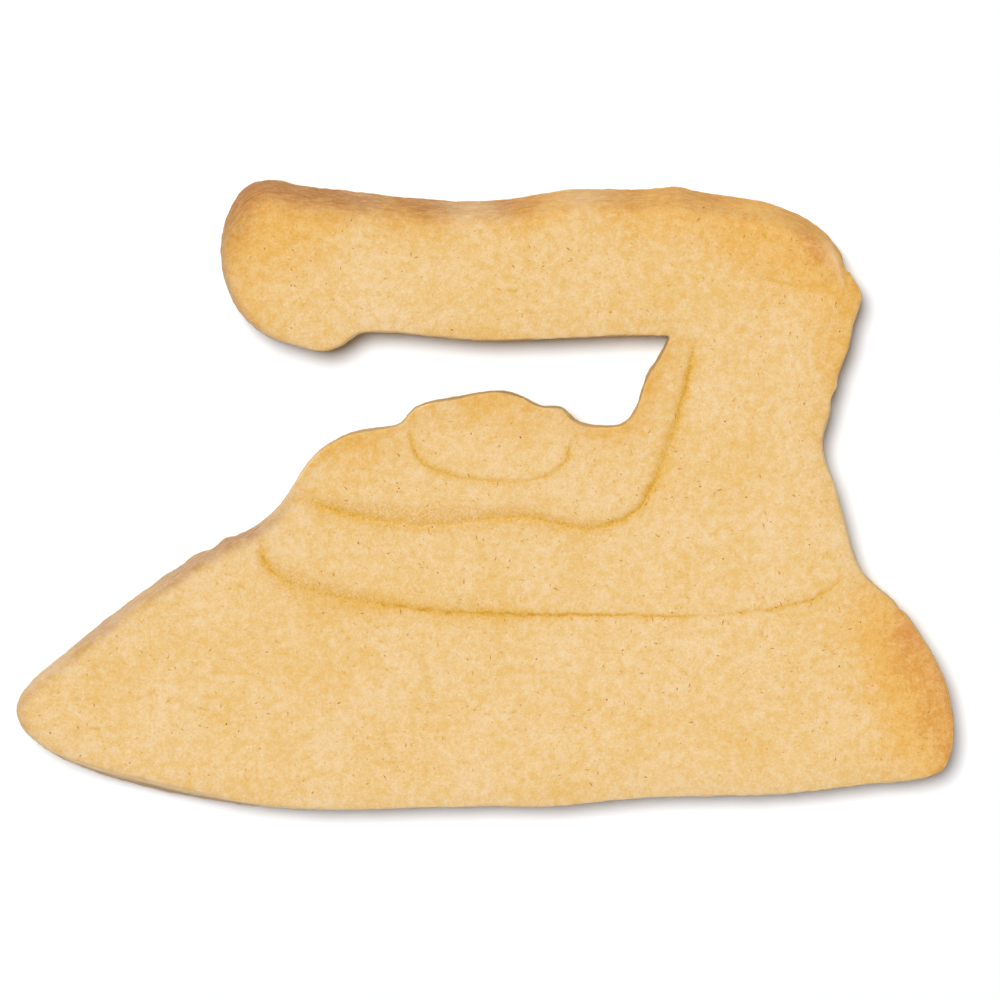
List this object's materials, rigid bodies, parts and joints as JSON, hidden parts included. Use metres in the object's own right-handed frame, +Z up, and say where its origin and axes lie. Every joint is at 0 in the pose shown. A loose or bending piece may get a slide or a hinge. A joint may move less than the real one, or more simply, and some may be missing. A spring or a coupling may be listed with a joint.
{
  "type": "cut-out biscuit",
  "caption": "Flat baked biscuit cut out in the outline of a clothes iron, with an open gap between handle and body and shallow lines pressed into its face.",
  "frame": {"origin": "middle of the outline's box, on the flat underside", "axes": "+X from the toe of the iron shape to its heel, +Y from the soleplate's edge to the back of the handle, +Z up out of the pressed face"},
  "size_m": [0.08, 0.0538, 0.0065],
  "materials": {
    "baked_dough": "matt, sugary crumb, browned at the edges"
  },
  "bodies": {
    "root": {"biscuit": "baked_dough"}
  },
  "joints": []
}
